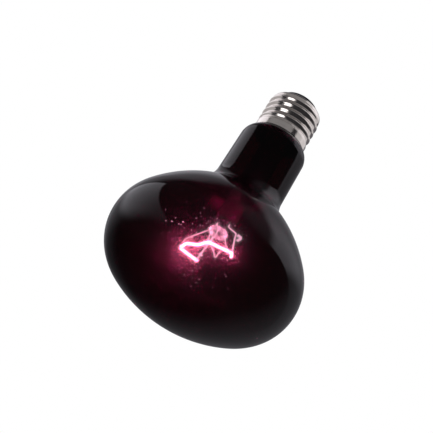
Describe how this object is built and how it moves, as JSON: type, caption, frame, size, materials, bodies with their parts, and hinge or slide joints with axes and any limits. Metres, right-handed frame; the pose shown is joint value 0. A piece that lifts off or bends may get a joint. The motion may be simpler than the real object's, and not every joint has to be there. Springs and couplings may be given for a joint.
{
  "type": "heat lamp bulb",
  "caption": "Reflector heat lamp bulb: a dark blown glass bowl on a neck, a metal screw cap, and a lit wire coil on a glass mount inside.",
  "frame": {"origin": "tip of the contact at the end of the screw cap, on the lamp's axis", "axes": "+Z along the axis, out of the screw cap, so the lamp hangs with its base up and its face looks to -Z; the side that the picture shows looks to -Y"},
  "size_m": [0.095, 0.095, 0.13],
  "materials": {
    "dark_glass": "glossy blown glass, purple-black and nearly opaque",
    "nickel": "bright rolled nickel plate",
    "black_glass": "glossy moulded",
    "solder": "dull, as it set",
    "cement": "matt, baked",
    "clear_glass": "clear, fire-polished",
    "lead_wire": "drawn, nickel plated",
    "support_wire": "drawn",
    "hot_coil": "white hot"
  },
  "bodies": {
    "root": {"glass_bulb": "dark_glass", "screw_shell": "nickel", "insulator": "black_glass", "center_contact": "nickel", "contact_solder": "solder", "side_solder": "solder", "cement_ring": "cement", "stem_tube": "clear_glass", "exhaust_tube": "clear_glass", "arbor_rod": "clear_glass", "seal_wire_right": "lead_wire", "seal_wire_left": "lead_wire", "outer_lead_center": "lead_wire", "outer_lead_side": "lead_wire", "lead_right": "lead_wire", "lead_left": "lead_wire", "lead_tab": "lead_wire", "clamp_bead": "lead_wire", "support_arch": "support_wire", "support_middle": "support_wire", "support_bent": "support_wire", "support_right": "support_wire", "filament": "hot_coil"}
  },
  "joints": []
}
